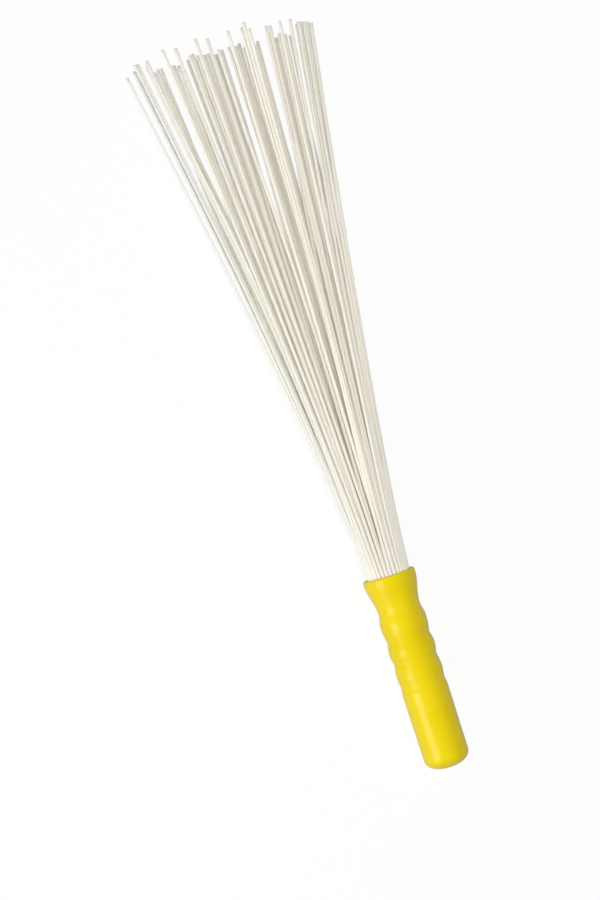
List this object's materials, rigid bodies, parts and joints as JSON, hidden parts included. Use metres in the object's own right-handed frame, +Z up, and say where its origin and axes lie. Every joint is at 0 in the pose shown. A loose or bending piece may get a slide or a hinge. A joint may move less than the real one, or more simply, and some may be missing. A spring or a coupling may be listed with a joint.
{
  "type": "hand brush",
  "caption": "Whisk-like hand brush: a turned plastic handle with finger grooves holds a fanned bundle of thin, round, square-cut cane rods.",
  "frame": {"origin": "on the floor, under the middle of the whole brush as it lies on its handle's rim and its lowest rod tips", "axes": "+Y along the handle's axis from the butt towards the rod tips, +X to the right seen from above with the tips away, +Z up from the floor"},
  "size_m": [0.1532, 0.5985, 0.0845],
  "materials": {
    "handle_plastic": "semi-gloss moulded yellow plastic, very slightly uneven",
    "cane": "pale bleached bamboo cane, fine lengthwise grain, matt, sawn square at the tips",
    "core_wood": "plain turned wood, unfinished",
    "set_glue": "set amber glue"
  },
  "bodies": {
    "root": {"handle": "handle_plastic", "core_wedge": "core_wood", "glue_bed": "set_glue", "rod_outer_01": "cane", "rod_outer_02": "cane", "rod_outer_03": "cane", "rod_outer_04": "cane", "rod_outer_05": "cane", "rod_outer_06": "cane", "rod_outer_07": "cane", "rod_outer_08": "cane", "rod_outer_09": "cane", "rod_outer_10": "cane", "rod_outer_11": "cane", "rod_outer_12": "cane", "rod_outer_13": "cane", "rod_outer_14": "cane", "rod_outer_15": "cane", "rod_outer_16": "cane", "rod_outer_17": "cane", "rod_outer_18": "cane", "rod_outer_19": "cane", "rod_outer_20": "cane", "rod_outer_21": "cane", "rod_outer_22": "cane", "rod_outer_23": "cane", "rod_outer_24": "cane", "rod_outer_25": "cane", "rod_outer_26": "cane", "rod_outer_27": "cane", "rod_outer_28": "cane", "rod_outer_29": "cane", "rod_outer_30": "cane", "rod_outer_31": "cane", "rod_outer_32": "cane", "rod_inner_01": "cane", "rod_inner_02": "cane", "rod_inner_03": "cane", "rod_inner_04": "cane", "rod_inner_05": "cane", "rod_inner_06": "cane", "rod_inner_07": "cane", "rod_inner_08": "cane", "rod_inner_09": "cane", "rod_inner_10": "cane", "rod_inner_11": "cane", "rod_inner_12": "cane", "rod_inner_13": "cane", "rod_inner_14": "cane", "rod_inner_15": "cane", "rod_inner_16": "cane", "rod_inner_17": "cane", "rod_inner_18": "cane", "rod_inner_19": "cane", "rod_inner_20": "cane", "rod_inner_21": "cane", "rod_inner_22": "cane", "rod_inner_23": "cane", "rod_inner_24": "cane", "rod_inner_25": "cane"}
  },
  "joints": []
}
